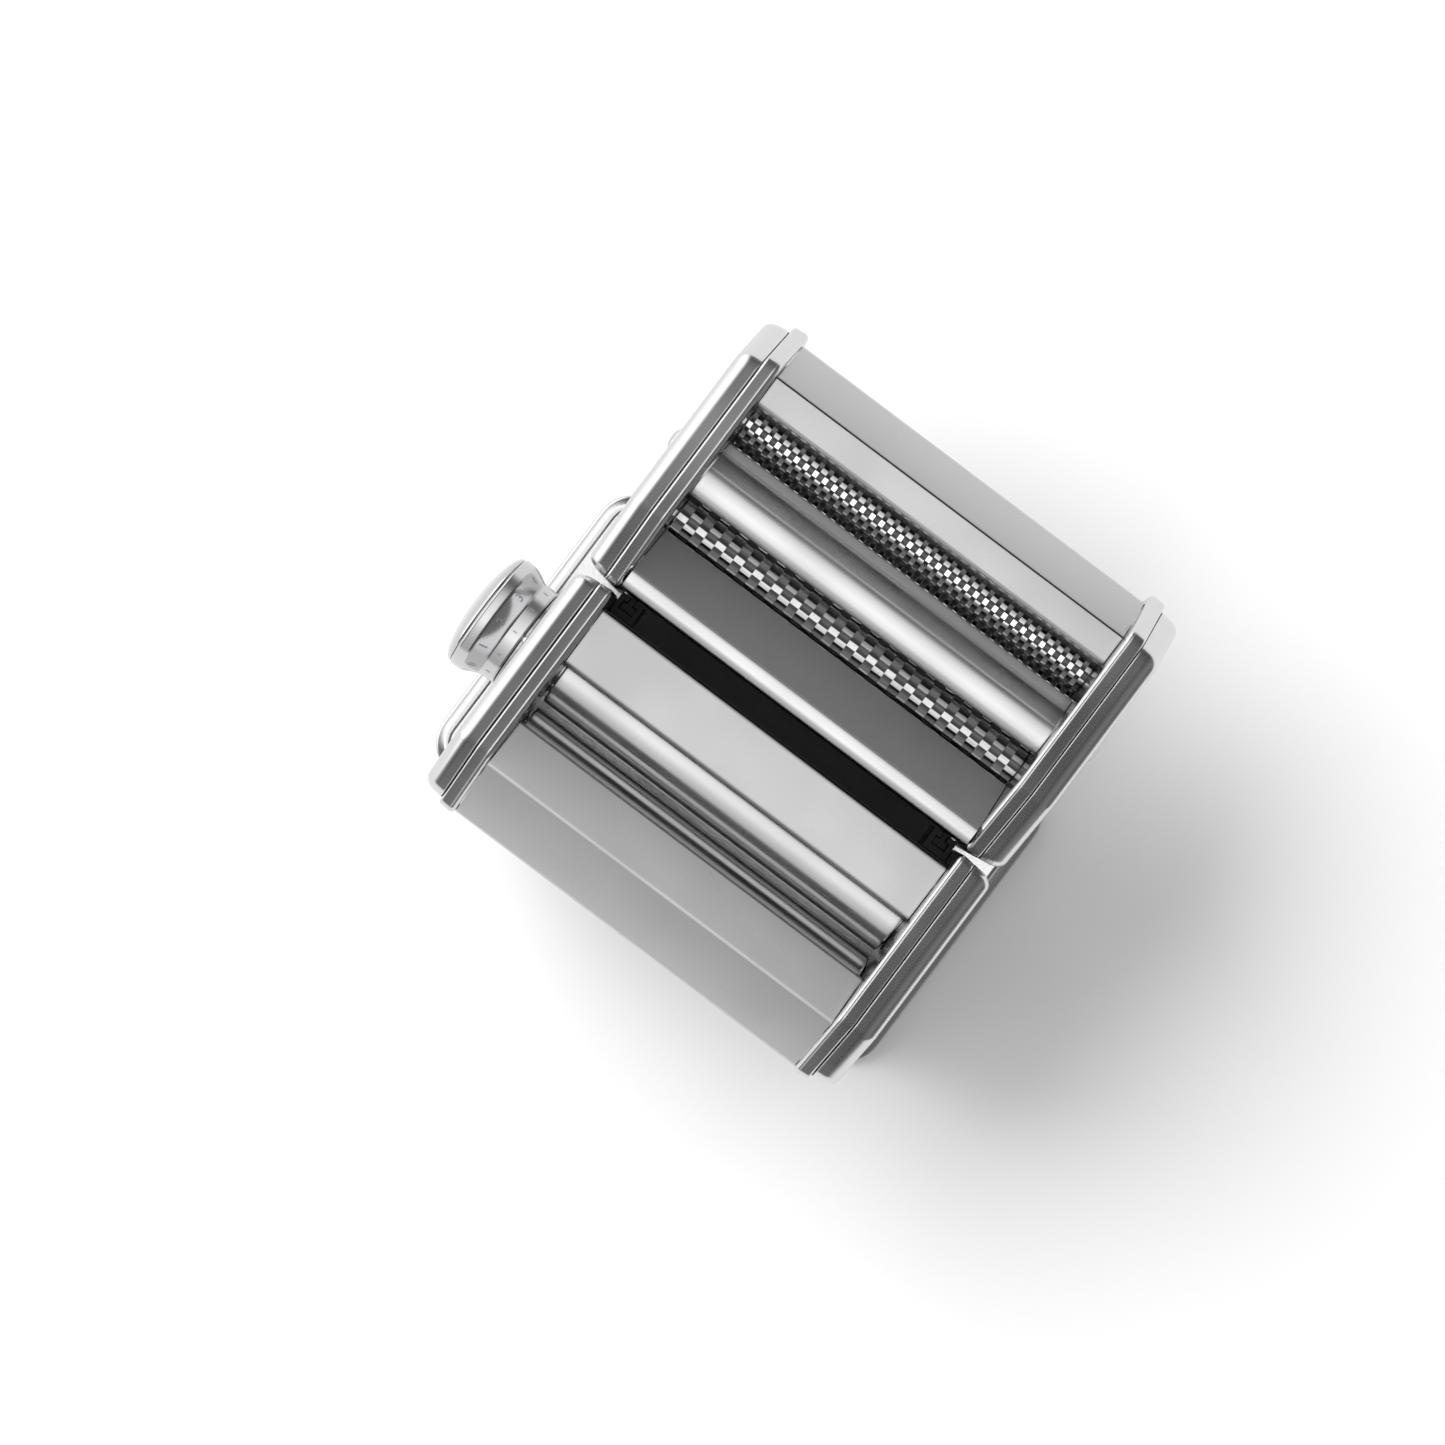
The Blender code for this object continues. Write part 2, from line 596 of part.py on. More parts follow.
# --------------------------------------------------------- cutter head
uppers = {"wide": WIDE_UPPER, "narrow": NARROW_UPPER}
lowers = {"wide": WIDE_LOWER, "narrow": NARROW_LOWER}
columns = {"wide": WIDE_COLUMNS, "narrow": NARROW_COLUMNS}
for side, s in (("left", -1), ("right", 1)):
    flank = finish(pan(HEAD_FLANK, s, FLANK_IN, FLANK_RIM, 2.2, 1),
                   f"head_flank_{side}", SATIN, head)
    cut(flank, [bore(s * 74, s * 80, CUTTER_JOURNAL_R + GAP, spot, 12)
                for spot in (*uppers.values(), *lowers.values())])
    cover = finish(pan(HEAD_COVER, s, COVER_OUT, COVER_RIM, EDGE_RADIUS, 3),
                   f"head_cover_{side}", CHROME, head)
    holes = [bore(s * 88, s * 94, 2.3, head_screw, 8)]
    if s > 0:
        holes += [bore(88, 94, 6.9, spot, 12) for spot in lowers.values()]
    cut(cover, holes)
    cover_screw(f"head_screw_{side}", s, head_screw, head)

finish(bent_sheet(HEAD_FRONT, PANEL_T, PANEL_HALF), "head_front_plate",
       SATIN, head)
finish(bent_sheet(DIVIDER, PANEL_T, PANEL_HALF), "head_divider", SATIN,
       head)
finish(bent_sheet(HEAD_REAR, PANEL_T, PANEL_HALF), "head_rear_panel",
       SATIN, head)
rod = frame_at("head_tie_rod_frame", *head_rod, head)
finish(turn([(-PANEL_HALF, 0.0), (-PANEL_HALF, 3.5), (PANEL_HALF, 3.5),
             (PANEL_HALF, 0.0)], 10), "head_tie_rod", SATIN, rod)

combs = {"wide_comb": ((9.0, 107.2), (22.4, 110.4)),
         "narrow_comb": ((88.3, 107.2), (74.9, 110.4))}
for name, line in combs.items():
    finish(bent_sheet(line, 0.8, PANEL_HALF), name, SATIN, head)


def cutter_profile(count, first, right_end):
    """Rings in every second column between grooves, and two journals."""
    start = -CUTTER_LENGTH / 2
    width = CUTTER_LENGTH / count
    points = [(-79.4, 0.0), (-79.4, CUTTER_JOURNAL_R),
              (start, CUTTER_JOURNAL_R), (start, CUTTER_GROOVE_R)]
    for k in range(first, count, 2):
        left = start + k * width + RING_CLEARANCE / 2
        right = left + width - RING_CLEARANCE
        points += [(left, CUTTER_GROOVE_R), (left, CUTTER_TIP_R),
                   (right, CUTTER_TIP_R), (right, CUTTER_GROOVE_R)]
    points += [(-start, CUTTER_GROOVE_R), (-start, CUTTER_JOURNAL_R)]
    return points + right_end


for kind in ("wide", "narrow"):
    ends = {"upper": [(86.0, CUTTER_JOURNAL_R), (86.0, 0.0)],
            "lower": [(79.4, CUTTER_JOURNAL_R), (79.4, 0.0)]}
    spots = {"upper": uppers[kind], "lower": lowers[kind]}
    line = math.degrees(math.atan2(spots["lower"][1] - spots["upper"][1],
                                   spots["lower"][0] - spots["upper"][0]))
    phases = {"upper": 0.0,
              "lower": mesh_phase(CUTTER_GEAR, 0.0, CUTTER_GEAR, line)}
    for first, level in enumerate(("upper", "lower")):
        axis = frame_at(f"{kind}_{level}_axis", *spots[level], head)
        finish(turn(cutter_profile(columns[kind], first, ends[level]), 8),
               f"{kind}_cutter_{level}", ROLLER, axis)
        gear = finish(extrude_x(gear_outline(CUTTER_GEAR, (0, 0),
                                             phases[level]),
                                *CUTTER_GEAR_X),
                      f"{kind}_gear_{level}", DARK_STEEL, axis)
        cut(gear, [bore(78, 88, CUTTER_JOURNAL_R + 0.25, (0, 0), 12)])
    socket = finish(turn([(79.7, 0.0), (79.7, CUTTER_JOURNAL_R),
                          (86.2, CUTTER_JOURNAL_R), (86.2, 6.5),
                          (91.3, 6.5), (91.3, 0.0)], 12),
                    f"{kind}_crank_socket", SATIN, axis)
    cut(socket, [bore(81.0, 94.0, HEX_FLATS / 2, (0, 0), 6)])
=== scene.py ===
"""Looks of the pasta roller machine: shells, rollers, cutters, materials.

Shapes are made in millimetres about the middle plane between the flanks,
and then placed in metres in the frame of the CAD model.  X runs along the
rollers (knob at -X), +Y is the rear with the cutter head, +Z is up.
"""
import json
import math

import bmesh
import bpy
from mathutils import Matrix, Vector


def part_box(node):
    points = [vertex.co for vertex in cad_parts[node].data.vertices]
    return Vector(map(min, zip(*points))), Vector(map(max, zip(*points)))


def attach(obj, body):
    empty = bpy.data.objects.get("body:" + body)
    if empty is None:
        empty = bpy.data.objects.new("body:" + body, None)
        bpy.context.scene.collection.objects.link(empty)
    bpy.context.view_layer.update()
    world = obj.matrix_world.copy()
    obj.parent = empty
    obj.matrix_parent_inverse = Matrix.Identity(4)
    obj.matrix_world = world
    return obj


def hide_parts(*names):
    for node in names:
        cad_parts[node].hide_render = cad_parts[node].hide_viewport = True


MM = 0.001

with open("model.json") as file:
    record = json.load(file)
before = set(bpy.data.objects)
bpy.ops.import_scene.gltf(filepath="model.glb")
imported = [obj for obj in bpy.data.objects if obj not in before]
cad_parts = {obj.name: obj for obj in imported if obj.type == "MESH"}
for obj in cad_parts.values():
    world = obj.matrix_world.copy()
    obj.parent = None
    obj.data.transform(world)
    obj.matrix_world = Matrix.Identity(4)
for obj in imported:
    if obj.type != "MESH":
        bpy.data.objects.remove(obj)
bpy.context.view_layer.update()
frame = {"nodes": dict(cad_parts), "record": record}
nodes = frame["nodes"]


def mid(node):
    """Centre of a CAD node's box, in millimetres."""
    low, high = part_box(node)
    return [(a + b) / 2 / MM for a, b in zip(low, high)]


def span(node):
    """Lowest and highest corner of a CAD node's box, in millimetres."""
    low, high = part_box(node)
    return [v / MM for v in low], [v / MM for v in high]


# ------------------------------------------------------------ dimensions
MID_X = mid("front_panel")[0]
FRONT_AXIS = mid("front_roller")[1:]
REAR_AXIS = mid("rear_roller")[1:]
PINION_AXIS = mid("crank_socket_shaft")[1:]
CUTTER_AXES = {(kind, level): mid(f"{kind}_cutter_{level}")[1:]
               for kind in ("wide", "narrow") for level in ("upper", "lower")}
PANEL_HALF = (span("front_panel")[1][0] - span("front_panel")[0][0]) / 2
PANEL_THICK = 1.0               # the bent sheets between the housings
PRESSED_THICK = 1.2             # the flanks and covers
FLANK_IN = 76.0                 # from the middle to a flank's flat wall
FLANK_RIM = 82.5
COVER_RIM = 82.8
COVER_OUT = span("main_cover_right")[1][0] - MID_X
FLANK_FILLET = (2.2, 2.0)       # along X, and across it
COVER_FILLET = (5.3, 3.3)
FLANK_EDGE, COVER_EDGE = 0.9, 0.3
MAIN_DROP, HEAD_DROP = 0.6, 1.0  # how far a cover lies below its flank
LEAN = 0.11                     # slope of the pressed walls

# Outlines of the housings, as (y, z, corner radius).
MAIN_FLANK = ((-16.0, 16.8, 4), (-8.2, 96.0, 20), (-8.2, 145.0, 4),
              (-80.5, 145.0, 7), (-106.5, 125.5, 5), (-106.5, 112.0, 12),
              (-95.0, 16.8, 4))
MAIN_COVER = ((-16.6, 17.2, 4), (-8.2, 96.0, 20), (-8.2, 145.0, 6),
              (-80.5, 145.0, 8), (-104.6, 126.9, 9), (-104.6, 112.0, 12),
              (-93.2, 17.2, 4))
HEAD_FLANK = ((-7.2, 86.0, 6), (-7.2, 139.5, 5), (21.95, 155.0, 8),
              (88.2, 155.0, 8), (106.5, 130.0, 6), (104.0, 108.0, 10),
              (90.0, 80.0, 8), (2.0, 80.0, 8))
HEAD_COVER = ((-7.2, 86.6, 7), (-7.2, 139.5, 7), (21.95, 155.0, 9),
              (85.6, 155.0, 9), (104.3, 132.0, 9), (102.2, 109.0, 10),
              (88.6, 80.6, 9), (2.0, 80.6, 9))

# Centre lines of the bent sheets, as (y, z, bend radius).
FRONT_PANEL = ((-103.6, 106.0, 0), (-104.6, 122.0, 2), (-83.5, 140.7, 1.6),
               (-65.2, 133.6, 1.2), (-65.4, 127.0, 0))
REAR_PANEL = ((-38.9, 127.2, 0), (-38.3, 135.6, 1.2), (-15.8, 137.2, 1.4),
              (-15.6, 76.0, 1.5), (-4.6, 69.5, 0))
HEAD_FRONT = ((-4.7, 84.0, 0), (-4.8, 144.5, 4.6), (0.9, 144.7, 2.4),
              (20.2, 127.0, 0))
DIVIDER = ((35.9, 129.5, 0), (35.6, 145.4, 3.2), (44.6, 147.4, 9.0),
           (53.6, 136.4, 8.0), (58.1, 133.9, 1.2), (57.8, 129.5, 0))
HEAD_REAR = ((74.7, 131.0, 0), (74.7, 145.3, 1.2), (85.6, 146.2, 1.4),
             (101.2, 130.8, 2), (101.6, 112.0, 0))

# Outlines of the knob, as (distance from the cover, radius).
COLLAR_R = 19.95
CONE_FOOT, CONE_TOP = (8.6, 20.37), (13.6, 22.72)
KNOB_BODY = ((1.9, 19.3), (2.1, 19.7), (2.6, 19.85), (2.9, 19.86),
             (7.2, 19.97), (7.6, 20.02), (8.0, 20.13), (8.4, 20.28),
             CONE_FOOT, CONE_TOP, (13.9, 22.84), (14.2, 22.94),
             (14.6, 23.04), (15.0, 23.1), (17.8, 23.22), (18.1, 23.2),
             (18.5, 23.05), (18.8, 22.7), (18.8, 19.5),
             (8.0, 19.5), (8.0, 3.6), (2.5, 3.6), (2.5, 7.0), (6.0, 7.0),
             (6.0, 18.4), (1.9, 18.4))
KNOB_CAP = ((24.9, 0.0), (24.85, 3.5), (24.6, 7.5), (24.15, 11.2),
            (23.5, 14.6), (22.75, 17.6), (21.9, 20.0), (21.0, 21.6),
            (20.2, 22.4), (19.6, 22.6), (19.2, 22.5), (19.2, 19.1),
            (17.5, 19.1), (17.5, 15.5), (19.2, 15.0), (19.2, 0.0))


# ------------------------------------------------------------- materials
# Scales are noise cells in a metre, and bump heights are in metres.
SMUDGE_SCALE, SMUDGE_DETAIL = 28.0, 1.5
WAVE_SCALE, WAVE_DETAIL, WAVE_HEIGHT = 55.0, 1.0, 0.001
LINE_SCALE, SPECK_SCALE = 2600.0, 900.0
LINE_DETAIL, LINE_ROUGHNESS, LINE_HEIGHT = 2.0, 0.6, 0.0002
LINE_STRETCH = {None: (1, 1, 1), "x": (0.02, 1, 1), "y": (1, 0.02, 1)}
SMUDGE_GLOSS = (0.85, 1.2)      # times the roughness, darkest to lightest
NOISE_SPAN = (0.2, 0.8)         # the part of a noise's values that counts


def new_material(name):
    """An empty material, its node tree, shader and object coordinates."""
    mat = bpy.data.materials.new(name)
    mat.use_nodes = True
    tree = mat.node_tree
    coords = tree.nodes.new("ShaderNodeTexCoord").outputs["Object"]
    return mat, tree, tree.nodes["Principled BSDF"], coords


def metal(name, colour, roughness, scratch=0.0, wave=0.0, grain=None,
          vary=0.06, uneven=0.04):
    """Steel with smudges, and with fine lines or specks where asked for.

    scratch and wave are the strengths of fine and broad unevenness.
    grain is the axis along which fine lines run; without it they are
    specks.  vary is how much darker a smudge is, and uneven how much the
    roughness changes from line to line.
    """
    mat, tree, shader, coords = new_material(name)
    shader.inputs["Metallic"].default_value = 1.0

    def noise(scale, detail, stretch=(1, 1, 1), rough=0.5):
        mapping = tree.nodes.new("ShaderNodeMapping")
        mapping.inputs["Scale"].default_value = stretch
        tree.links.new(coords, mapping.inputs["Vector"])
        tex = tree.nodes.new("ShaderNodeTexNoise")
        tex.inputs["Scale"].default_value = scale
        tex.inputs["Detail"].default_value = detail
        tex.inputs["Roughness"].default_value = rough
        tree.links.new(mapping.outputs["Vector"], tex.inputs["Vector"])
        return tex.outputs["Fac"]

    def remap(value, low, high):
        node = tree.nodes.new("ShaderNodeMapRange")
        node.interpolation_type = 'SMOOTHSTEP'
        node.inputs["From Min"].default_value = NOISE_SPAN[0]
        node.inputs["From Max"].default_value = NOISE_SPAN[1]
        node.inputs["To Min"].default_value = low
        node.inputs["To Max"].default_value = high
        tree.links.new(value, node.inputs["Value"])
        return node.outputs["Result"]

    def dent(value, strength, height):
        """Bump the surface, on top of any bump that it has already."""
        bump = tree.nodes.new("ShaderNodeBump")
        bump.inputs["Strength"].default_value = strength
        bump.inputs["Distance"].default_value = height
        tree.links.new(value, bump.inputs["Height"])
        for link in shader.inputs["Normal"].links:
            tree.links.new(link.from_socket, bump.inputs["Normal"])
        tree.links.new(bump.outputs["Normal"], shader.inputs["Normal"])

    smudge = noise(SMUDGE_SCALE, SMUDGE_DETAIL)
    mix = tree.nodes.new("ShaderNodeMix")
    mix.data_type = 'RGBA'
    mix.inputs["A"].default_value = (*(c * (1 - vary) for c in colour), 1)
    mix.inputs["B"].default_value = (*colour, 1)
    tree.links.new(remap(smudge, 0.0, 1.0), mix.inputs["Factor"])
    tree.links.new(mix.outputs["Result"], shader.inputs["Base Color"])

    gloss = remap(smudge, *(roughness * v for v in SMUDGE_GLOSS))
    if scratch or uneven:
        lines = noise(LINE_SCALE if grain else SPECK_SCALE, LINE_DETAIL,
                      LINE_STRETCH[grain], LINE_ROUGHNESS)
    if uneven:
        add = tree.nodes.new("ShaderNodeMath")
        add.operation = 'ADD'
        tree.links.new(gloss, add.inputs[0])
        tree.links.new(remap(lines, -uneven, uneven), add.inputs[1])
        gloss = add.outputs[0]
    tree.links.new(gloss, shader.inputs["Roughness"])
    if scratch:
        dent(lines, scratch, LINE_HEIGHT)
    if wave:
        dent(noise(WAVE_SCALE, WAVE_DETAIL), wave, WAVE_HEIGHT)
    return mat


def rubber(name):
    """Black rubber with a fine, dusty roughness."""
    mat, tree, shader, coords = new_material(name)
    shader.inputs["Roughness"].default_value = 0.75
    tex = tree.nodes.new("ShaderNodeTexNoise")
    tex.inputs["Scale"].default_value = SPECK_SCALE
    tree.links.new(coords, tex.inputs["Vector"])
    mix = tree.nodes.new("ShaderNodeMix")
    mix.data_type = 'RGBA'
    mix.inputs["A"].default_value = (0.012, 0.012, 0.013, 1)
    mix.inputs["B"].default_value = (0.035, 0.035, 0.036, 1)
    tree.links.new(tex.outputs["Fac"], mix.inputs["Factor"])
    tree.links.new(mix.outputs["Result"], shader.inputs["Base Color"])
    bump = tree.nodes.new("ShaderNodeBump")
    bump.inputs["Strength"].default_value = 0.3
    bump.inputs["Distance"].default_value = LINE_HEIGHT
    tree.links.new(tex.outputs["Fac"], bump.inputs["Height"])
    tree.links.new(bump.outputs["Normal"], shader.inputs["Normal"])
    return mat


LOOKS = {
    "cover": metal("polished_cover", (0.66, 0.66, 0.665), 0.20, wave=0.05,
                   uneven=0.0),
    "flank": metal("polished_flank", (0.64, 0.64, 0.645), 0.20, wave=0.05,
                   uneven=0.0),
    "panel": metal("satin_panel", (0.565, 0.565, 0.57), 0.28, wave=0.03,
                   vary=0.09, uneven=0.0),
    "lip": metal("polished_lip", (0.68, 0.68, 0.685), 0.22, wave=0.03,
                 vary=0.05, uneven=0.0),
    "plate": metal("brushed_plate", (0.57, 0.57, 0.575), 0.36, scratch=0.40,
                   wave=0.04, grain="y", vary=0.10),
    # Near-black steel: painted shade, for parts that sit only in deep shade.
    "inner": metal("shade_painted_steel", (0.045, 0.045, 0.045), 0.45,
                   scratch=0.05),
    "roller": metal("ground_roller", (0.60, 0.60, 0.605), 0.22, uneven=0.0),
    # The narrow lands' bright steel is a painted highlight, and the dark
    # groove steel is painted shade in the flutes and on the caps.
    "cutter": metal("cutter_steel", (0.90, 0.90, 0.905), 0.16),
    "lined": metal("lined_cutter_steel", (0.64, 0.64, 0.645), 0.20,
                   scratch=0.4, grain="x"),
    "groove": metal("cutter_groove_painted_shade", (0.20, 0.20, 0.205), 0.40,
                    scratch=0.15, grain="x", vary=0.25),
    "knob": metal("knob_chrome", (0.57, 0.57, 0.575), 0.16, wave=0.03,
                  uneven=0.0),
    "ink": metal("engraving", (0.50, 0.50, 0.50), 0.55),
    "base": metal("base_chrome", (0.70, 0.70, 0.705), 0.15, scratch=0.04,
                  wave=0.04),
    "hardware": metal("nickel_hardware", (0.60, 0.60, 0.60), 0.25, wave=0.04,
                      uneven=0.0),
    "gear": metal("gear_steel", (0.40, 0.40, 0.41), 0.40, scratch=0.10),
    "bearing": metal("sintered_bearing", (0.13, 0.115, 0.10), 0.45,
                     scratch=0.10),
    "rubber": rubber("foot_rubber"),
}
SLOT_LOOK = {"polished_chrome": "cover", "satin_sheet": "panel",
             "roller_steel": "roller", "plated_hardware": "hardware",
             "gear_steel": "gear", "bearing_metal": "bearing",
             "foot_rubber": "rubber"}
slot_of = {p["node"]: p["material_slot"]
           for p in frame["record"]["subparts"]}
for name, obj in nodes.items():
    # The head's rails and tongues get the near-black steel, painted shade in
    # the gap between the body and the head.
    shade_painted = name.startswith(("head_rail", "head_tongue"))
    obj.data.materials.clear()
    obj.data.materials.append(
        LOOKS["inner" if shade_painted else SLOT_LOOK[slot_of[name]]])


# ---------------------------------------------------------- mesh helpers
SHARP_ANGLE = 30                # degrees
WELD = 1e-4                     # millimetres


def finish(bm, name, look, body, replaced=(), at=(0, 0)):
    """Place a bmesh made in millimetres about (MID_X, y, z) on a body.

    look is one material, or several that the faces' indices choose from,
    and the CAD nodes in replaced are hidden.
    """
    bmesh.ops.remove_doubles(bm, verts=bm.verts, dist=WELD)
    bmesh.ops.recalc_face_normals(bm, faces=bm.faces)
    mesh = bpy.data.meshes.new(name)
    bm.to_mesh(mesh)
    bm.free()
    looks = look if isinstance(look, (list, tuple)) else (look,)
    for item in looks:
        mesh.materials.append(LOOKS[item])
    mesh.shade_smooth()
    mesh.set_sharp_from_angle(angle=math.radians(SHARP_ANGLE))
    mesh.transform(shift(at))
    obj = bpy.data.objects.new(name, mesh)
    bpy.context.scene.collection.objects.link(obj)
    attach(obj, body)
    if replaced:
        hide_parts(*replaced)


def carve(bm, tools):
    """Cut closed shapes out of a closed shape with exact Booleans."""
    made = []
    for index, shape in enumerate((bm, *tools)):
        bmesh.ops.recalc_face_normals(shape, faces=shape.faces)
        mesh = bpy.data.meshes.new(f"carving_{index}")
        shape.to_mesh(mesh)
        shape.free()
        obj = bpy.data.objects.new(f"carving_{index}", mesh)
        bpy.context.scene.collection.objects.link(obj)
        made.append(obj)
    for tool in made[1:]:
        mod = made[0].modifiers.new(tool.name, 'BOOLEAN')
        mod.operation = 'DIFFERENCE'
        mod.solver = 'EXACT'
        mod.object = tool
    view = bpy.context.evaluated_depsgraph_get()
    result = bmesh.new()
    result.from_mesh(made[0].evaluated_get(view).to_mesh())
    for obj in made:
        bpy.data.objects.remove(obj, do_unlink=True)
    return result


def shift(at):
    """From millimetres about (MID_X, y, z) to metres in the frame."""
    return (Matrix.Scale(MM, 4)
            @ Matrix.Translation((MID_X, at[0], at[1])))


def loft(loops):
    """Closed shape through loops of points, with a cap at each end."""
    bm = bmesh.new()
    rings = [[bm.verts.new(p) for p in loop] for loop in loops]
    count = len(rings[0])
    for a, b in zip(rings, rings[1:]):
        for i in range(count):
            j = (i + 1) % count
            bm.faces.new((a[i], a[j], b[j], b[i]))
    bm.faces.new(rings[0])
    bm.faces.new(rings[-1])
    return bm


def turn(profile, segments):
    """Turn a closed (x, radius) outline about the X axis."""
    bm = bmesh.new()
    rings = []
    for x, r in profile:
        if r == 0.0:
            rings.append([bm.verts.new((x, 0, 0))])
            continue
        rings.append([bm.verts.new(
            (x, r * math.cos(math.tau * k / segments),
             r * math.sin(math.tau * k / segments)))
            for k in range(segments)])
    for a, b in zip(rings, rings[1:] + rings[:1]):
        if len(a) == 1 and len(b) == 1:
            continue
        for k in range(segments):
            m = (k + 1) % segments
            if len(a) == 1:
                bm.faces.new((a[0], b[m], b[k]))
            elif len(b) == 1:
                bm.faces.new((a[k], a[m], b[0]))
            else:
                bm.faces.new((a[k], a[m], b[m], b[k]))
    return bm


def extrude_x(outline, x0, x1):
    """Solid between x0 and x1 with a (y, z) outline."""
    return loft([[(x, y, z) for y, z in outline] for x in (x0, x1)])


def block(x, y, z):
    """A cutting block between pairs of x, y and z."""
    return extrude_x([(y[0], z[0]), (y[1], z[0]), (y[1], z[1]),
                      (y[0], z[1])], *x)


def drill(x0, x1, radius, spot, sides=64):
    """A cutting prism along X whose flats lie at radius."""
    size = radius / math.cos(math.pi / sides)
    return extrude_x([(spot[0] + size * math.cos(math.tau * k / sides),
                       spot[1] + size * math.sin(math.tau * k / sides))
                      for k in range(sides)], x0, x1)


BEND_STEPS = 6
MOST_REACH = 0.49               # of a straight, used up by a bend


def round_line(points):
    """Open line with its bends rounded; points are (y, z, radius)."""
    out = [points[0][:2]]
    for a, b, c in zip(points, points[1:], points[2:]):
        v0 = Vector((a[0] - b[0], a[1] - b[1]))
        v1 = Vector((c[0] - b[0], c[1] - b[1]))
        e0, e1 = v0.normalized(), v1.normalized()
        bend = math.pi - e0.angle(e1)
        reach = b[2] * math.tan(bend / 2)
        reach = min(reach, v0.length * MOST_REACH, v1.length * MOST_REACH)
        radius = reach / math.tan(bend / 2)
        corner = Vector(b[:2])
        start = corner + e0 * reach
        side = Vector((-e0.y, e0.x))
        if side.dot(e1) < 0:
            side = -side
        centre = start + side * radius
        arm = start - centre
        sign = 1.0 if (-e0).cross(e1) > 0 else -1.0
        for k in range(BEND_STEPS + 1):
            t = sign * bend * k / BEND_STEPS
            out.append((centre.x + arm.x * math.cos(t) - arm.y * math.sin(t),
                        centre.y + arm.x * math.sin(t) + arm.y * math.cos(t)))
    out.append(points[-1][:2])
    return out


SAME_POINT = 1e-6


def offset_line(points, distance):
    """Open line moved sideways by distance, with mitred corners."""
    out = []
    for i in range(len(points)):
        total = Vector((0, 0))
        number = 0
        for a, b in ((i - 1, i), (i, i + 1)):
            if a < 0 or b >= len(points):
                continue
            d = Vector(points[b]) - Vector(points[a])
            if d.length < SAME_POINT:
                continue
            d.normalize()
            total += Vector((-d.y, d.x))
            number += 1
        total /= number
        out.append(tuple(Vector(points[i])
                         + total * distance / total.length_squared))
    return out


def bent_sheet(line):
    """Bent sheet between the flanks, about its centre line."""
    centre = round_line(line)
    outline = offset_line(centre, PANEL_THICK / 2)
    outline += reversed(offset_line(centre, -PANEL_THICK / 2))
    return extrude_x(outline, -PANEL_HALF, PANEL_HALF)


LEAST_RADIUS = 0.4


def rounded(corners, inset, steps=8):
    """Closed outline with its corners rounded, and moved inwards by inset.

    corners are (u, v, radius), and each arc has the given number of steps.
    """
    area = sum(a[0] * b[1] - b[0] * a[1]
               for a, b in zip(corners, corners[1:] + corners[:1]))
    side = 1.0 if area > 0 else -1.0
    lines = []
    for a, b in zip(corners, corners[1:] + corners[:1]):
        du, dv = b[0] - a[0], b[1] - a[1]
        size = math.hypot(du, dv)
        nu, nv = -dv / size * side, du / size * side
        lines.append((a[0] + nu * inset, a[1] + nv * inset,
                      du / size, dv / size))
    out = []
    for i, corner in enumerate(corners):
        u0, v0, du0, dv0 = lines[i - 1]
        u1, v1, du1, dv1 = lines[i]
        cross = du0 * dv1 - dv0 * du1
        t = ((u1 - u0) * dv1 - (v1 - v0) * du1) / cross
        u, v = u0 + du0 * t, v0 + dv0 * t
        bend = math.acos(max(-1.0, min(1.0, du0 * du1 + dv0 * dv1)))
        radius = max(corner[2] - inset, LEAST_RADIUS)
        reach = radius * math.tan(bend / 2)
        start = (u - du0 * reach, v - dv0 * reach)
        centre = (start[0] - dv0 * side * radius,
                  start[1] + du0 * side * radius)
        first = math.atan2(start[1] - centre[1], start[0] - centre[0])
        for k in range(steps + 1):
            a = first + side * bend * k / steps
            out.append((centre[0] + radius * math.cos(a),
                        centre[1] + radius * math.sin(a)))
    return out


FLAT_HOLD, WALL_HOLD = 0.6, 0.3  # keep a fillet's shading off the walls
FILLET_STEPS, EDGE_STEPS = 12, 4


def quarter(steps):
    """Angles of a quarter turn."""
    return [math.pi / 2 * k / steps for k in range(steps + 1)]


def pan(outline, side, flat, rim, fillet, edge, drop, lean):
    """A pressed pan: flat wall, fillet, and walls that run to the rim.

    fillet is its size along X and across it, and edge rounds the rim.
    drop shrinks the outline, and lean slopes the walls: they shrink
    towards the flat wall, or towards the rim if it is negative.
    """
    out = 1.0 if rim > flat else -1.0
    origin = rim if lean > 0 else flat
    length, depth = fillet
    inner_length, inner_depth = (v - PRESSED_THICK for v in fillet)
    loops = [(flat, depth + FLAT_HOLD)]
    for a in quarter(FILLET_STEPS):
        loops.append((flat + out * length * (1 - math.cos(a)),
                      depth * (1 - math.sin(a))))
    loops += [(flat + out * (length + WALL_HOLD), 0.0),
              (rim - out * (edge + WALL_HOLD), 0.0)]
    for a in quarter(EDGE_STEPS):
        loops.append((rim - out * edge * (1 - math.sin(a)),
                      edge * (1 - math.cos(a))))
    loops.append((rim, PRESSED_THICK))
    for a in reversed(quarter(EDGE_STEPS)):
        loops.append((
            flat + out * (PRESSED_THICK + inner_length * (1 - math.cos(a))),
            PRESSED_THICK + inner_depth * (1 - math.sin(a))))
    return loft([[(side * x, y, z) for y, z in rounded(
        outline, inset + drop + abs(lean * (x - origin)))]
        for x, inset in loops])


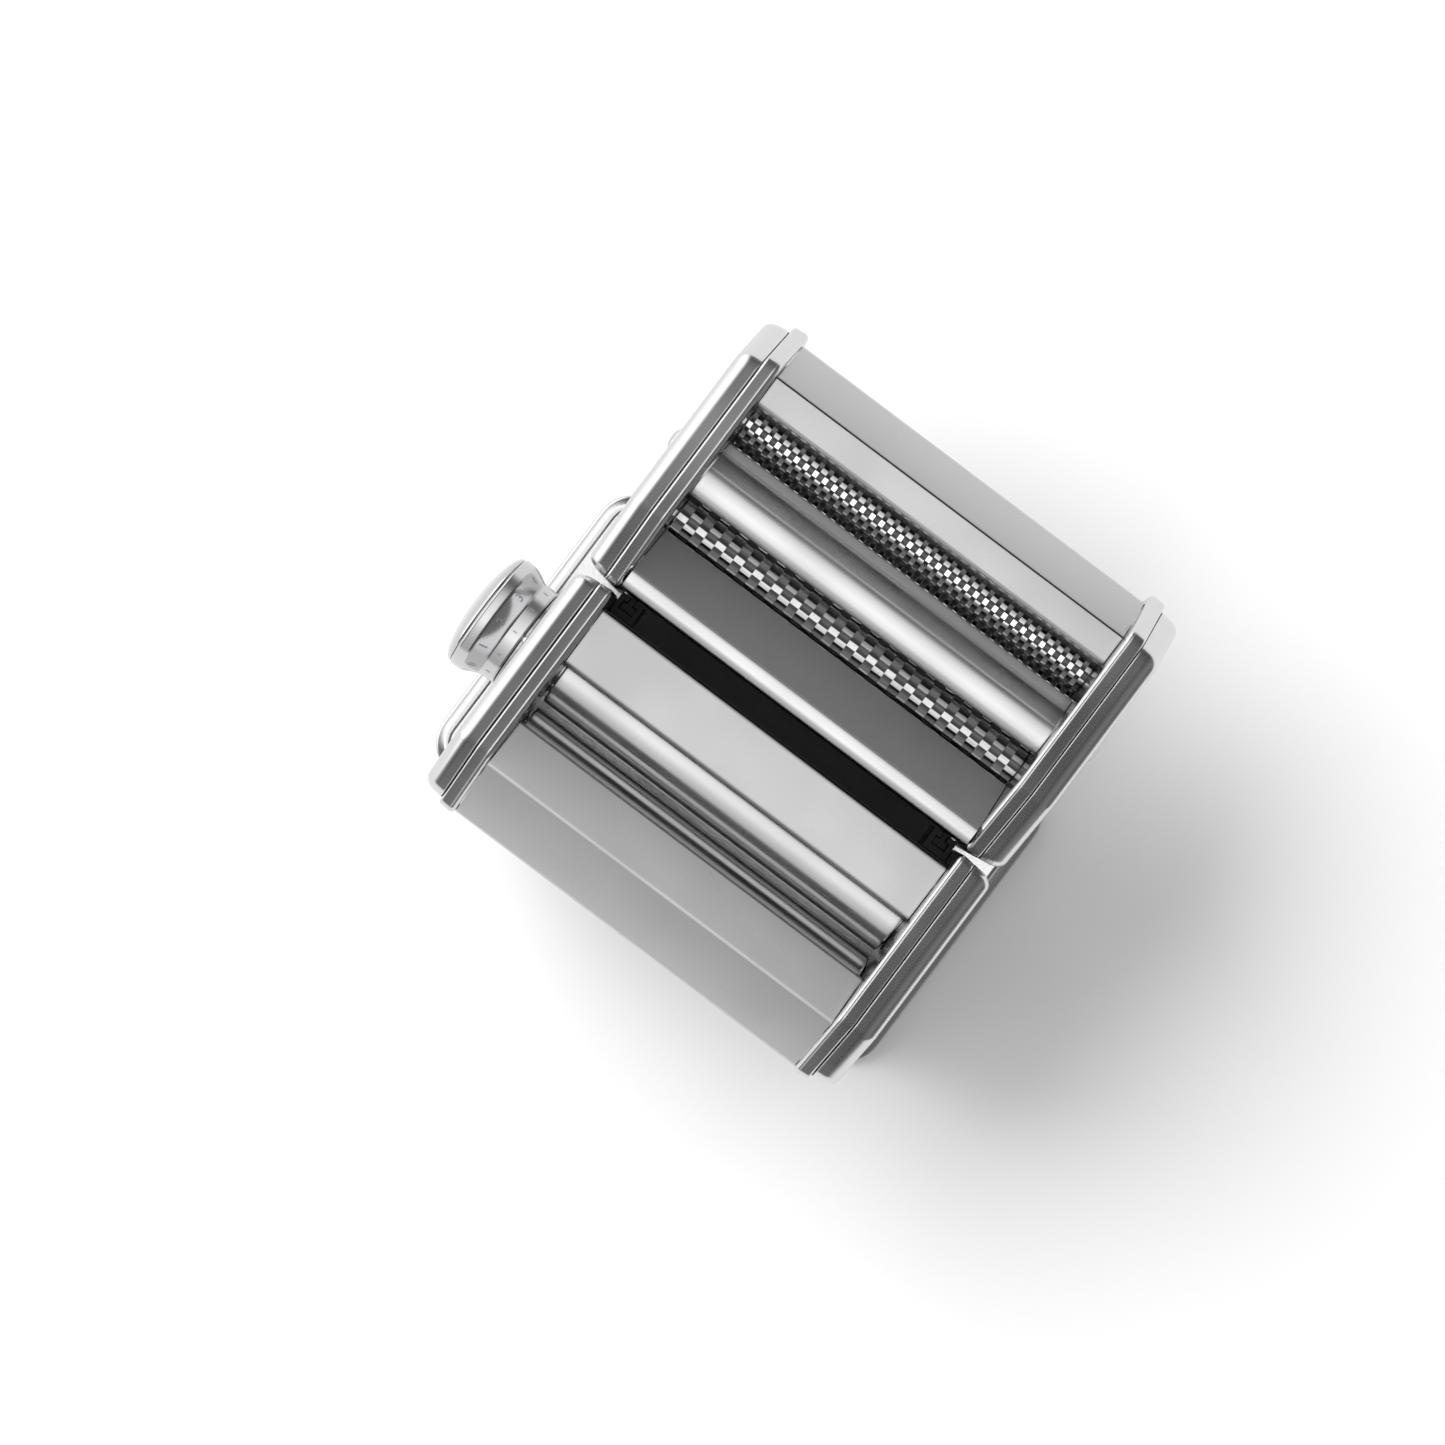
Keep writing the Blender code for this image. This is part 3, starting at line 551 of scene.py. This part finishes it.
# ------------------------------------------------------ housings, panels
WALL = (74.0, 80.0)             # through a flank
SKIN = (88.0, 94.0)             # through a cover
BUSH_R, PINION_R, CUTTER_R = 10.3, 5.9, 5.3      # holes in the flanks
BLOCK_Y, BLOCK_Z = (-12.6, 11.3), (-10.6, 10.6)  # windows in the flanks
ROD_R, ROD_BUSH_R = 6.0, 7.3                     # holes in the covers
CRANK_R, CUTTER_CRANK_R = 7.6, 6.9
for side, s in (("left", -1), ("right", 1)):
    wall = sorted((s * WALL[0], s * WALL[1]))
    skin = sorted((s * SKIN[0], s * SKIN[1]))
    holes = [drill(*wall, BUSH_R, FRONT_AXIS),
             block(wall, [REAR_AXIS[0] + y for y in BLOCK_Y],
                   [REAR_AXIS[1] + z for z in BLOCK_Z])]
    if s > 0:
        holes.append(drill(*wall, PINION_R, PINION_AXIS))
    finish(carve(pan(MAIN_FLANK, s, FLANK_IN, FLANK_RIM, FLANK_FILLET,
                     FLANK_EDGE, 0.0, -LEAN), holes),
           f"flank_shell_main_{side}", "flank", "frame",
           [f"main_flank_{side}"])
    holes = [drill(*skin, ROD_R, REAR_AXIS)]
    if s > 0:
        holes = [drill(*skin, CRANK_R, PINION_AXIS),
                 drill(*skin, ROD_BUSH_R, REAR_AXIS)]
    finish(carve(pan(MAIN_COVER, s, COVER_OUT, COVER_RIM, COVER_FILLET,
                     COVER_EDGE, MAIN_DROP, LEAN), holes),
           f"cover_shell_main_{side}", "cover", "frame",
           [f"main_cover_{side}"])
    finish(carve(pan(HEAD_FLANK, s, FLANK_IN, FLANK_RIM, FLANK_FILLET,
                     FLANK_EDGE, 0.0, -LEAN),
                 [drill(*wall, CUTTER_R, spot)
                  for spot in CUTTER_AXES.values()]),
           f"flank_shell_head_{side}", "flank", "cutter_head",
           [f"head_flank_{side}"])
    shell = pan(HEAD_COVER, s, COVER_OUT, COVER_RIM, COVER_FILLET,
                COVER_EDGE, HEAD_DROP, LEAN)
    if s > 0:
        shell = carve(shell, [
            drill(*skin, CUTTER_CRANK_R, CUTTER_AXES[kind, "lower"])
            for kind in ("wide", "narrow")])
    finish(shell, f"cover_shell_head_{side}", "cover", "cutter_head",
           [f"head_cover_{side}"])

# The head's rear sheet has a seam at its fold whose faces are painted
# near-black, painted shade in the gap; two sheets are painted near-black below
# a height, painted shade in the deep gaps, and one is brushed behind its lip.
SEAM_Y, SEAM_Z = (85.5, 86.0), (146.0, 148.0)
PAINTED_SHADE_BELOW = {"sheet_rear": 134.0, "sheet_head_front": 138.5}
BRUSHED_BEHIND = 2.5
NEAR = 0.1


def sheet_part(name, face):
    """Which of its sheet's looks a face has."""
    centre = face.calc_center_median()
    # Seam faces get the near-black steel: painted shade in the gap under the
    # fold.
    if name == "sheet_head_rear":
        return int(SEAM_Y[0] - NEAR < centre.y < SEAM_Y[1] + NEAR
                   and centre.z > SEAM_Z[0] - NEAR
                   and abs(centre.x) < PANEL_HALF - NEAR)
    if name not in PAINTED_SHADE_BELOW:
        return 0
    if centre.y > BRUSHED_BEHIND and len(face.verts) == 4:
        return 2
    # Lower faces get the near-black steel: painted shade in the deep gaps.
    return int(centre.z < PAINTED_SHADE_BELOW[name])


for name, line, looks, body, node in (
        ("sheet_front", FRONT_PANEL, ["panel"], "frame", "front_panel"),
        ("sheet_rear", REAR_PANEL, ["panel", "inner"], "frame",
         "rear_panel"),
        ("sheet_head_front", HEAD_FRONT, ["lip", "inner", "plate"],
         "cutter_head", "head_front_plate"),
        ("sheet_divider", DIVIDER, ["lip"], "cutter_head", "head_divider"),
        ("sheet_head_rear", HEAD_REAR, ["panel", "inner"], "cutter_head",
         "head_rear_panel")):
    sheet = bent_sheet(line)
    if name == "sheet_head_rear":
        sheet = carve(sheet, [block((-PANEL_HALF - 1, PANEL_HALF + 1),
                                    SEAM_Y, SEAM_Z)])
    for face in sheet.faces:
        face.material_index = sheet_part(name, face)
    finish(sheet, name, looks, body, [node])

# --------------------------------------------------------------- rollers
ROLLER_BODY = ((-75.0, 8.0), (-75.0, 13.7), (-74.8, 14.2), (-74.3, 14.5),
               (74.3, 14.5), (74.8, 14.2), (75.0, 13.7), (75.0, 8.0))
ROLLER_SIDES = 96
SHAFT_R = 8.0
SHAFT_X = (-79.4, 86.6)
ROD_BORE = 5.5                  # the adjuster rod runs through the rear one
for side, bore, at in (("front", 0.0, FRONT_AXIS),
                       ("rear", ROD_BORE, REAR_AXIS)):
    finish(turn([(SHAFT_X[0], bore), (SHAFT_X[0], SHAFT_R), *ROLLER_BODY,
                 (SHAFT_X[1], SHAFT_R), (SHAFT_X[1], bore)],
                ROLLER_SIDES),
           f"roller_{side}", "roller", f"{side}_roller",
           [f"{side}_roller"], at=at)

# --------------------------------------------------------------- cutters
SAMPLES = 72                    # points round a cutter
SAMPLE_ANGLE = 360.0 / SAMPLES
FLUTES = 9
LAND_STEPS = 3
PITCH_STEPS = SAMPLES // FLUTES
FLUTE_DEPTH = (0.45, 0.75, 0.75, 0.45)
TIP_R, GROOVE_R, JOURNAL_R = 8.6, 7.2, 5.0
CUTTER_HALF = 75.6
JOURNAL_END, GEAR_JOURNAL_END = 79.4, 86.0
RING_CLEARANCE = 0.3


def fluted_cutter(count, first, right_end, tilt, stagger):
    """Rings in every second column, and flutes cut across every column.

    tilt is the angle of a ring column's land towards the rear, in degrees,
    and stagger the steps from it to a groove column's land.
    """
    def section(x, radius, shifted=None):
        out = []
        for k in range(SAMPLES):
            r = radius
            if shifted is not None:
                step = (k - shifted) % PITCH_STEPS
                if step > LAND_STEPS:
                    r -= FLUTE_DEPTH[step - LAND_STEPS - 1]
            a = math.radians(tilt + SAMPLE_ANGLE * (k - LAND_STEPS / 2))
            out.append((x, r * math.sin(a), r * math.cos(a)))
        return out

    def ring(x):
        return section(x, TIP_R, 0)

    def groove(x):
        return section(x, GROOVE_R, stagger)

    width = 2 * CUTTER_HALF / count
    loops = [section(-JOURNAL_END, JOURNAL_R),
             section(-CUTTER_HALF, JOURNAL_R), groove(-CUTTER_HALF)]
    kinds = [None, None]
    for k in range(first, count, 2):
        left = -CUTTER_HALF + k * width + RING_CLEARANCE / 2
        right = left + width - RING_CLEARANCE
        kinds += [stagger, None, 0, None]
        loops += [groove(left), ring(left), ring(right), groove(right)]
    kinds += [stagger, None, None]
    loops += [groove(CUTTER_HALF), section(CUTTER_HALF, JOURNAL_R),
              section(right_end, JOURNAL_R)]
    bm = bmesh.new()
    rings = [[bm.verts.new(p) for p in loop] for loop in loops]
    for a, b, kind in zip(rings, rings[1:], kinds):
        for i in range(SAMPLES):
            j = (i + 1) % SAMPLES
            face = bm.faces.new((a[i], a[j], b[j], b[i]))
            land = (kind is not None
                    and (i - kind) % PITCH_STEPS < LAND_STEPS)
            # Lands take the bright steel, a painted highlight, and all other
            # faces the dark steel, painted shade.
            face.material_index = 0 if land else 1
    bm.faces.new(rings[0]).material_index = 1
    bm.faces.new(rings[-1]).material_index = 1
    return bm


COLUMNS = {"wide": 36, "narrow": 72}
LAND_TILT = {"wide": -3.5, "narrow": -8.5}
STAGGER = {"wide": 5, "narrow": 4}
# The narrow cutters' lands get the bright steel, a painted highlight; every
# cutter's flutes get the dark groove steel, painted shade.
LAND_LOOK = {"wide": "lined", "narrow": "cutter"}
for kind in ("wide", "narrow"):
    for level in ("upper", "lower"):
        first, right_end = ((0, GEAR_JOURNAL_END) if level == "upper"
                            else (1, JOURNAL_END))
        bm = fluted_cutter(COLUMNS[kind], first, right_end,
                           LAND_TILT[kind], STAGGER[kind])
        finish(bm, f"fluted_{kind}_{level}", (LAND_LOOK[kind], "groove"),
               f"{kind}_{level}", [f"{kind}_cutter_{level}"],
               at=CUTTER_AXES[kind, level])

# ------------------------------------------------------- crank sockets
HEX_FLAT = 3.6                  # from the middle of the hole to a flat
HUB_SIDES = 64
HUB_MOUTH = 94.0                # well outside a hub
# Hubs as (x, radius), and where their hexagonal holes begin.
ROLLER_HUB = ((72.4, 0.0), (72.4, 6.6), (72.8, 7.0), (75.6, 7.0),
              (75.6, 5.5), (86.9, 5.5), (86.9, 7.2), (90.8, 7.2),
              (91.3, 6.7), (91.3, 0.0))
ROLLER_HOLE = 79.8
CUTTER_HUB = ((79.7, 0.0), (79.7, 5.0), (86.2, 5.0), (86.2, 6.5),
              (90.8, 6.5), (91.3, 6.0), (91.3, 0.0))
CUTTER_HOLE = 81.0
ROD_BUSH = ((89.95, 3.5), (89.95, 6.9), (92.2, 6.9), (92.5, 6.6),
            (92.6, 6.0), (92.6, 3.5))


def crank_socket(profile, hole, name, body, node, at):
    """A turned hub with a hexagonal hole for the crank."""
    hub = carve(turn(profile, HUB_SIDES),
                [drill(hole, HUB_MOUTH, HEX_FLAT, (0, 0), 6)])
    finish(hub, name, "hardware", body, [node], at=at)


crank_socket(ROLLER_HUB, ROLLER_HOLE, "socket_rollers", "crank_socket",
             "crank_socket_shaft", PINION_AXIS)
for kind in ("wide", "narrow"):
    crank_socket(CUTTER_HUB, CUTTER_HOLE, f"socket_{kind}",
                 f"{kind}_lower", f"{kind}_crank_socket",
                 CUTTER_AXES[kind, "lower"])
finish(turn(ROD_BUSH, HUB_SIDES), "bush_rod", "hardware", "frame",
       ["rod_bush_right"], at=REAR_AXIS)


# --------------------------------------------------------------- screws
SHANK = ((-7.0, 0.0), (-7.0, 1.7), (-6.4, 2.0), (0.3, 2.0), (0.3, 4.0))
DOME_FOOT, DOME_R, DOME_RISE, DOME_STEPS = 0.5, 4.2, 1.9, 8
CROSS_LONG, CROSS_WIDE = (-2.1, 2.1), (-0.4, 0.4)
CROSS_X = (1.1, 4.0)            # from the recess's floor to above the dome
SCREW_SIDES = 48


def dome_screw(name, body, node, s):
    """Domed screw with a cross recess; s is +1 on the right side."""
    dome = [(DOME_FOOT + DOME_RISE * math.sin(a), DOME_R * math.cos(a))
            for a in quarter(DOME_STEPS)[:-1]]
    profile = [(s * (COVER_OUT + x), r)
               for x, r in (*SHANK, *dome, (DOME_FOOT + DOME_RISE, 0.0))]
    reach = sorted(s * (COVER_OUT + x) for x in CROSS_X)
    bm = carve(turn(profile, SCREW_SIDES),
               [block(reach, CROSS_LONG, CROSS_WIDE),
                block(reach, CROSS_WIDE, CROSS_LONG)])
    finish(bm, name, "hardware", body, [node], at=mid(node)[1:])


for side, s in (("left", -1), ("right", 1)):
    dome_screw(f"screw_main_{side}", "frame", f"main_screw_{side}", s)
    dome_screw(f"screw_head_{side}", "cutter_head", f"head_screw_{side}", s)

# ---------------------------------------------------------------- knob
KNOB_SIDES = 128
for name, profile, node in (("knob_shell", KNOB_BODY, "thickness_knob"),
                            ("knob_dome", KNOB_CAP, "knob_cap")):
    finish(turn([(-COVER_OUT - u, r) for u, r in profile], KNOB_SIDES),
           name, "knob", "knob", [node], at=REAR_AXIS)

DIGIT_SIZE, DIGIT_BOLD = 4.4, 0.05
DIGIT_FOOT, MARK_FOOT = 9.9, 4.4  # from the cover
MARK_LENGTH, MARK_HALF = 1.7, 0.22
SETTING = 30.0                  # degrees between two settings
TOP_DIGIT = 2
RAISED = 0.10
numbers = bmesh.new()


def cone_radius(u):
    """Radius of the knob's cone at a distance from the cover."""
    (u0, r0), (u1, r1) = CONE_FOOT, CONE_TOP
    return r0 + (u - u0) * (r1 - r0) / (u1 - u0)


def collar_radius(u):
    """Radius of the knob's collar, the same at any distance."""
    return COLLAR_R


def wrap(flat, foot, radius_at, angle):
    """Bend points (across, up, out) round the knob and add their faces."""
    for vert in flat.verts:
        across, up, out = vert.co
        u = foot + up
        r = radius_at(u) + out
        a = math.radians(angle) + across / radius_at(u)
        vert.co = (-COVER_OUT - u, r * math.sin(a), r * math.cos(a))
    mesh = bpy.data.meshes.new("wrapped")
    flat.to_mesh(mesh)
    flat.free()
    numbers.from_mesh(mesh)
    bpy.data.meshes.remove(mesh)


def digit_shape(text):
    """Closed, slightly raised outline of a digit, standing on y = 0."""
    curve = bpy.data.curves.new("digit", 'FONT')
    curve.body = text
    curve.size = DIGIT_SIZE
    curve.align_x = 'CENTER'
    curve.extrude = RAISED
    curve.offset = DIGIT_BOLD
    curve.resolution_u = 4
    obj = bpy.data.objects.new("digit", curve)
    bpy.context.scene.collection.objects.link(obj)
    view = bpy.context.evaluated_depsgraph_get()
    flat = bmesh.new()
    flat.from_mesh(obj.evaluated_get(view).to_mesh())
    bpy.data.objects.remove(obj, do_unlink=True)
    bmesh.ops.remove_doubles(flat, verts=flat.verts, dist=WELD)
    return flat


for number in range(10):
    angle = SETTING * (number - TOP_DIGIT)
    wrap(digit_shape(str(number)), DIGIT_FOOT, cone_radius, angle)
    wrap(block((-MARK_HALF, MARK_HALF), (0.0, MARK_LENGTH),
               (-RAISED, RAISED)), MARK_FOOT, collar_radius, angle)
finish(numbers, "knob_numbers", "ink", "knob",
       at=REAR_AXIS)

# Small pointer pressed out of the left cover above the knob.
POINTER = (2.2, 1.7, 2.4)       # half sizes
POINTER_AT = (-COVER_OUT + 0.5, 0.0, 25.0)
bm = bmesh.new()
bmesh.ops.create_uvsphere(bm, u_segments=32, v_segments=20, radius=1.0)
bmesh.ops.scale(bm, vec=POINTER, verts=bm.verts)
bmesh.ops.translate(bm, vec=POINTER_AT, verts=bm.verts)
finish(bm, "cover_pointer", "cover", "frame",
       at=REAR_AXIS)

# ---------------------------------------------------------------- base
BASE_CORNER, CORNER_STEPS = 15.0, 12
# From the middle of the top over the rim to the underside, as (inset, z).
BASE_PROFILE = ((6.8, 16.5), (6.2, 16.5), (5.4, 16.3), (4.9, 15.8),
                (4.6, 14.8), (4.1, 8.8), (3.8, 7.9), (3.1, 7.5),
                (1.2, 7.4), (0.4, 7.1), (0.0, 6.3), (0.0, 4.2),
                (0.2, 4.0), (1.3, 4.0), (1.3, 6.0), (5.4, 6.6),
                (6.2, 14.0), (7.4, 15.2))
CLAMP_SLOT = ((-12.0, 12.0), (-106.0, -84.0), (8.9, 13.7))
CLAMP_SEAT = ((-11.5, 11.5), (-94.5, -80.0), (14.2, 15.6))
base_low, base_high = span("base_plate")
half_x, half_y = ((b - a) / 2 for a, b in zip(base_low[:2], base_high))
centre_y = mid("base_plate")[1]
corners = [(sx * half_x, centre_y + sy * half_y, BASE_CORNER)
           for sx, sy in ((-1, -1), (1, -1), (1, 1), (-1, 1))]
loops = [[(x, y, z) for x, y in rounded(corners, inset, CORNER_STEPS)]
         for inset, z in BASE_PROFILE]
finish(carve(loft(loops), [block(*CLAMP_SLOT), block(*CLAMP_SEAT)]),
       "base_shell", "base", "frame", ["base_plate"])

# ------------------------------------------------------ floor and lights
FLOOR_SIZE, FLOOR_Z = 8.0, -0.0002   # metres, just under the feet
bpy.ops.mesh.primitive_plane_add(size=FLOOR_SIZE, location=(0, 0, FLOOR_Z))
floor = bpy.context.active_object
floor.name = "floor"
floor_mat = bpy.data.materials.new("floor_white")
floor_mat.use_nodes = True
paint = floor_mat.node_tree.nodes["Principled BSDF"].inputs
paint["Base Color"].default_value = (0.74, 0.74, 0.74, 1)
paint["Roughness"].default_value = 0.9
floor.data.materials.append(floor_mat)


# The suns only light what is matt; the studio below is what the metal
# mirrors.
def soft_sun(name, direction, strength, width):
    """A sun that shines along direction and is width degrees wide."""
    data = bpy.data.lights.new(name, 'SUN')
    data.energy = strength
    data.angle = math.radians(width)
    sun = bpy.data.objects.new(name, data)
    sun.rotation_euler = Vector(direction).to_track_quat(
        '-Z', 'Y').to_euler()
    sun.visible_glossy = False
    bpy.context.scene.collection.objects.link(sun)


soft_sun("key_left", (1.4, -0.1, -1.25), 2.9, 46)
soft_sun("fill_top", (-0.1, 0.1, -1.0), 0.8, 120)

# Studio round the object, as (angle from overhead, brightness): along the
# machine from the front at -90 to the rear, and from the left at -90 to
# the right.  Within CENTRE of the middle only the first one counts.
LENGTHWISE = ((-90, 0.62), (-77, 0.65), (-56, 0.80), (-36, 1.15),
              (-18, 1.7), (-9, 1.65), (0, 1.5), (9, 1.45), (18, 1.35),
              (27, 1.2), (37, 1.05), (46, 0.78), (56, 0.40), (66, 0.2),
              (77, 0.26), (90, 0.95))
SIDEWAYS = ((-90, 1.1), (-63, 1.5), (-45, 2.0), (-33, 1.7), (-26, 0.35),
            (-21, 0.09), (20, 0.08), (36, 0.20), (52, 0.26), (66, 0.14),
            (90, 0.3))
CENTRE = (6, 12)
HORIZON = 1.0                   # brightness below the horizon
HORIZON_FADE = (0.03, -0.01)
world = bpy.data.worlds.new("studio")
bpy.context.scene.world = world
world.use_nodes = True
sky = world.node_tree


def sky_node(kind, **inputs):
    """A node of the studio, with its inputs given by number as i0, i1..."""
    node = sky.nodes.new(kind)
    for key, value in inputs.items():
        socket = node.inputs[int(key[1:])]
        if hasattr(value, "links"):
            sky.links.new(value, socket)
        else:
            socket.default_value = value
    return node


def sky_math(operation, a, b=0.0):
    """Result of a maths operation on one or two values."""
    node = sky_node("ShaderNodeMath", i0=a, i1=b)
    node.operation = operation
    return node.outputs[0]


def sky_fade(value, start, end):
    """0 at start and 1 at end, smoothly."""
    node = sky_node("ShaderNodeMapRange", i0=value, i1=start, i2=end)
    node.interpolation_type = 'SMOOTHSTEP'
    return node.outputs[0]


def sky_mix(a, b, factor):
    """a where factor is 0, and b where it is 1."""
    node = sky_node("ShaderNodeMix", i0=factor, i2=a, i3=b)
    return node.outputs[0]


def sky_profile(angle, stops):
    """Brightness for an angle in radians, from stops in degrees."""
    node = sky_node("ShaderNodeValToRGB", i0=sky_math(
        'ADD', sky_math('MULTIPLY', angle, 1 / math.pi), 0.5))
    band = node.color_ramp
    top = max(value for _, value in stops)
    while len(band.elements) < len(stops):
        band.elements.new(0.5)
    for element, (degrees, value) in zip(band.elements, stops):
        element.position = degrees / 180 + 0.5
        element.color = (value / top, value / top, value / top, 1)
    return sky_math('MULTIPLY', node.outputs[0], top)


direction = sky.nodes.new("ShaderNodeTexCoord").outputs["Generated"]
split = sky_node("ShaderNodeSeparateXYZ", i0=direction)
dx, dy, dz = split.outputs
sideways = sky_math('ARCSINE', dx)
level = sky_mix(sky_profile(sky_math('ARCTAN2', dy, dz), LENGTHWISE),
                sky_profile(sideways, SIDEWAYS),
                sky_fade(sky_math('ABSOLUTE', sideways),
                         *(math.radians(v) for v in CENTRE)))
level = sky_mix(level, HORIZON, sky_fade(dz, *HORIZON_FADE))
sky.links.new(level, sky.nodes["Background"].inputs["Strength"])
sky.nodes["Background"].inputs["Color"].default_value = (1, 1, 1, 1)

# ---------------------------------------------------------------- camera
CAMERA_AT = ((MID_X - 18.5) * MM, -22.25 * MM, 1.300)  # metres
CAMERA_TURN = 36.95             # degrees
camera_data = bpy.data.cameras.new("camera")
camera_data.lens = 82.05
camera_data.sensor_width = 36.0
camera = bpy.data.objects.new("camera", camera_data)
bpy.context.scene.collection.objects.link(camera)
camera.location = CAMERA_AT
camera.rotation_euler = (0.0, 0.0, math.radians(CAMERA_TURN))
bpy.context.scene.camera = camera
bpy.context.scene.view_settings.view_transform = 'Standard'
